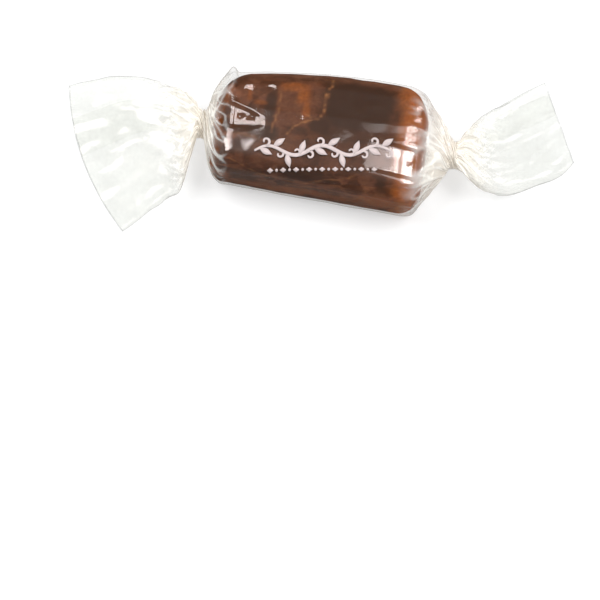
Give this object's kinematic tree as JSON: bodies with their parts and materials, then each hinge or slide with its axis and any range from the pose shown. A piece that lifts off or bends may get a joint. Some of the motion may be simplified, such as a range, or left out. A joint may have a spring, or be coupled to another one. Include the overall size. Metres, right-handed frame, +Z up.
{
  "type": "salted caramel sweet in a clear twist wrapper",
  "caption": "Block of soft brown caramel in clear film that is twisted into a neck and a flat fan at each end.",
  "frame": {"origin": "on the floor, under the middle of the whole sweet's bounding box", "axes": "+X along the caramel block, from the wide fan of film to the narrow one; +Z up from the flat underside; +Y to the back"},
  "size_m": [0.08, 0.0294, 0.0137],
  "materials": {
    "caramel": "soft, slightly translucent brown caramel with a satin surface",
    "clear_film": "thin clear cellulose film, glossy and creased"
  },
  "bodies": {
    "root": {"caramel": "caramel", "film_wrapper": "clear_film"}
  },
  "joints": []
}
